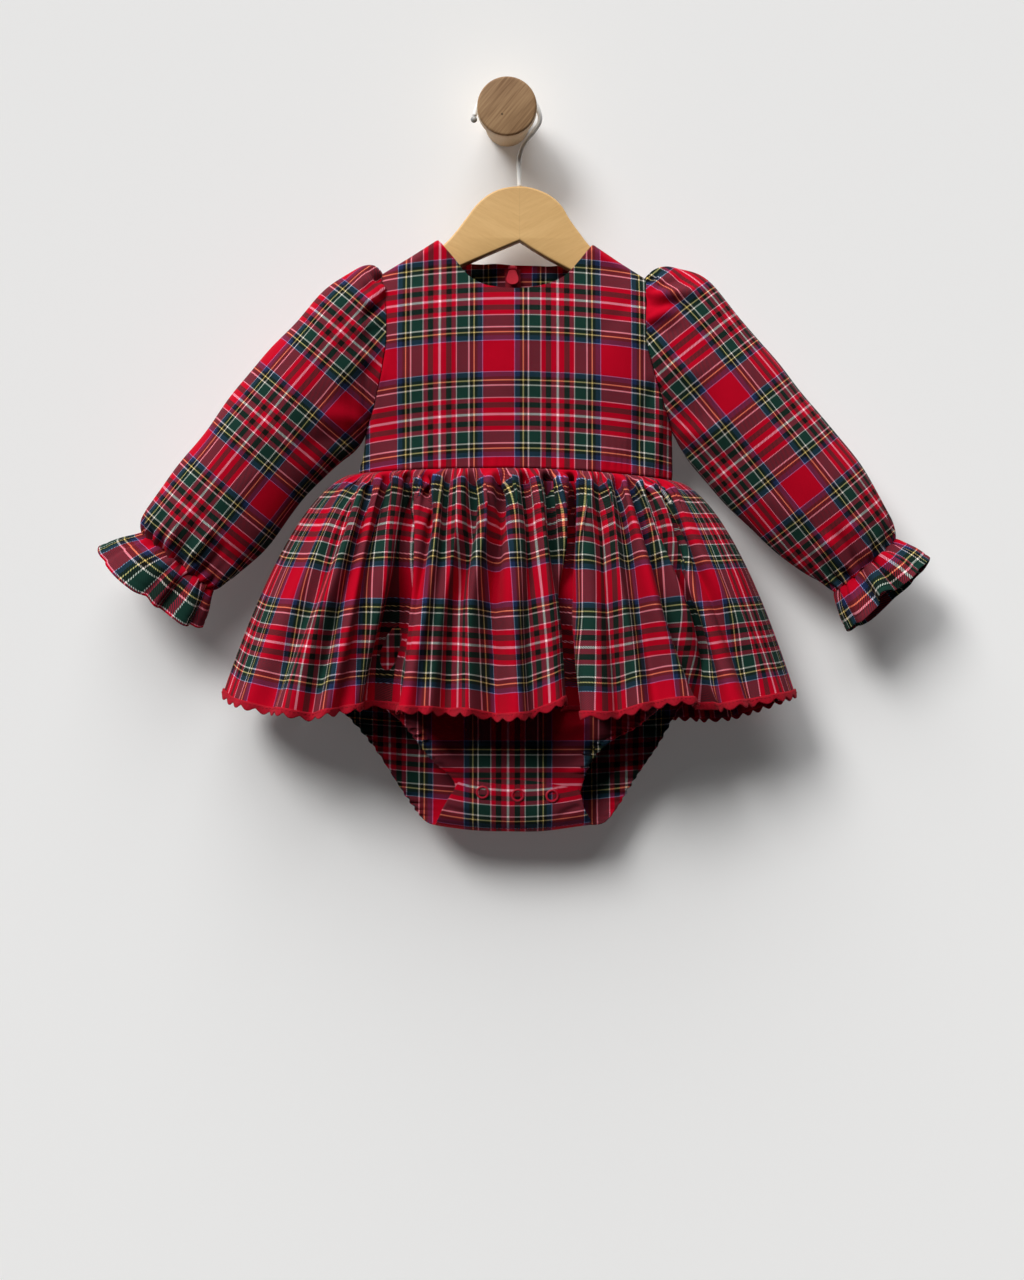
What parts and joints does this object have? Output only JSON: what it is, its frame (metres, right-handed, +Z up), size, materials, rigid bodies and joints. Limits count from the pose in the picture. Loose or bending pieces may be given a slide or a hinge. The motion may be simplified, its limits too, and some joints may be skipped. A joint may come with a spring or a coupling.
{
  "type": "baby romper on hanger and wall peg",
  "caption": "Long-sleeved tartan baby romper with a gathered skirt, frilled cuffs, lace hem and snap crotch, hung on a wooden hanger from a wall peg",
  "frame": {"origin": "centre of the wall peg's flat back face, on the wall", "axes": "+X to the viewer's right, +Y back into the wall, +Z up; the garment's front faces -Y"},
  "size_m": [0.6056, 0.0947, 0.5452],
  "materials": {
    "tartan": "brushed cotton twill, tartan check",
    "lace": "woven picot braid",
    "snap": "red enamelled ring",
    "zip_tape": "woven tape",
    "zip": "red lacquer",
    "hanger_wood": "clear satin lacquer",
    "peg_wood": "oiled, fine grain",
    "hook": "white coating",
    "hook_tip": "grey end ball"
  },
  "bodies": {
    "garment": {"bodice_front": "tartan", "bodice_back_left": "tartan", "bodice_back_right": "tartan", "sleeve_left": "tartan", "sleeve_right": "tartan", "cuff_left": "tartan", "cuff_right": "tartan", "skirt_front": "tartan", "skirt_back": "tartan", "hem_lace_front": "lace", "hem_lace_back": "lace", "bloomer_front": "tartan", "bloomer_back": "tartan", "snap_left": "snap", "snap_middle": "snap", "snap_right": "snap", "hanger": "hanger_wood", "hook_wire": "hook", "hook_tip": "hook_tip", "wall_peg": "peg_wood", "zip_tape": "zip_tape", "zip_slider": "zip"},
    "pull_tab": {"zip_pull_tab": "zip"}
  },
  "joints": [
    {"name": "pull_tab_swing", "type": "hinge", "parent": "garment", "child": "pull_tab", "pos_m": [0.00397, -0.02556, -0.111], "axis": [-1, 0, 0], "range_deg": [0, 140]}
  ]
}
